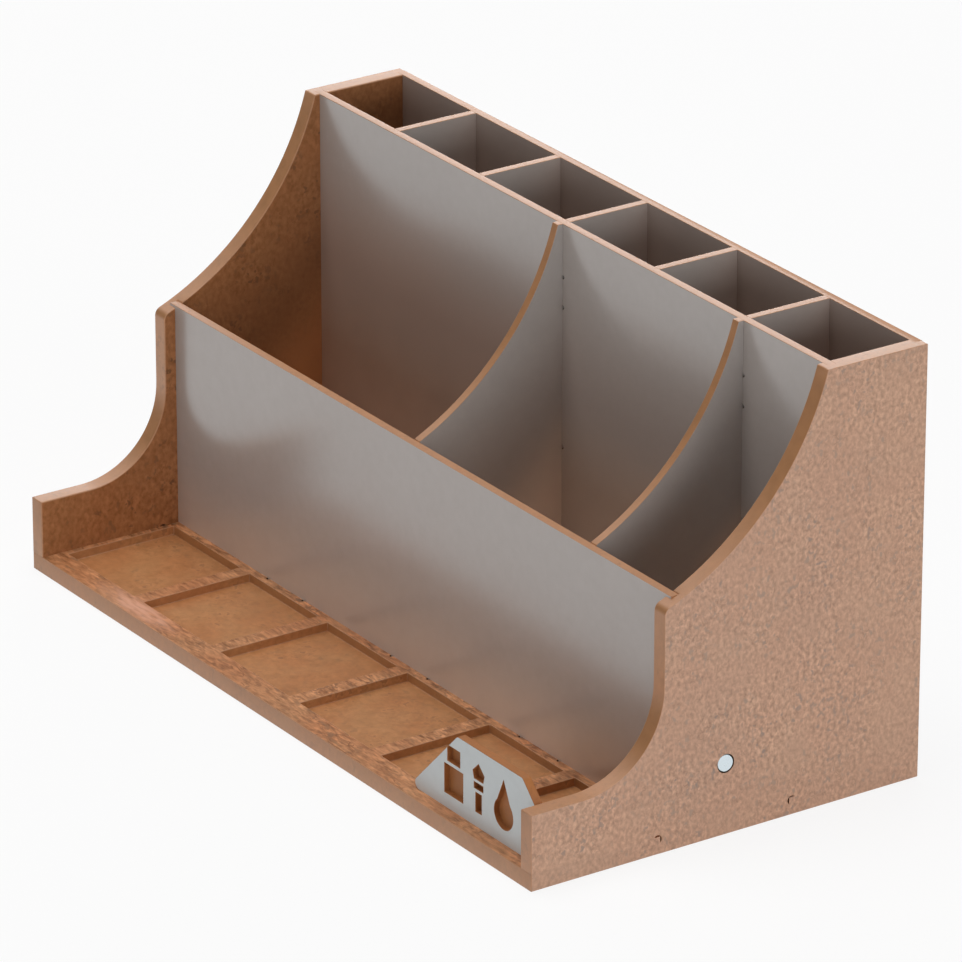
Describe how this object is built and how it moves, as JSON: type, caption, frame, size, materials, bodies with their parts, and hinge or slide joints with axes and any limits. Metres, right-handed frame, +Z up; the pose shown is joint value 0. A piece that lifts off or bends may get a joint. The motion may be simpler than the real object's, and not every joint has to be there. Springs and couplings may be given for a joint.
{
  "type": "hobby workstation organizer",
  "caption": "Desk organizer of cut boards: a front tray with shallow pockets, open bins behind a low front panel, and a row of tall cells along the back.",
  "frame": {"origin": "middle of the footprint, on the plane that the object rests on", "axes": "+X to the right seen from the front, +Y from the tray towards the back panel, +Z up"},
  "size_m": [0.3, 0.15, 0.15],
  "materials": {
    "raw_board": "raw medium-density fibreboard, matt, with cut edges",
    "faced_board": "thin fibreboard with a satin grey facing, raw brown edges",
    "magnet": "bright nickel plating"
  },
  "bodies": {
    "root": {"left_side_panel": "raw_board", "right_side_panel": "raw_board", "floor_board": "raw_board", "front_panel": "faced_board", "middle_panel": "faced_board", "back_panel": "faced_board", "left_bin_divider": "faced_board", "right_bin_divider": "faced_board", "rear_divider_1": "faced_board", "rear_divider_2": "faced_board", "rear_divider_3": "faced_board", "rear_divider_4": "faced_board", "rear_divider_5": "faced_board", "badge_plate": "faced_board", "left_magnet": "magnet", "right_magnet": "magnet"}
  },
  "joints": []
}
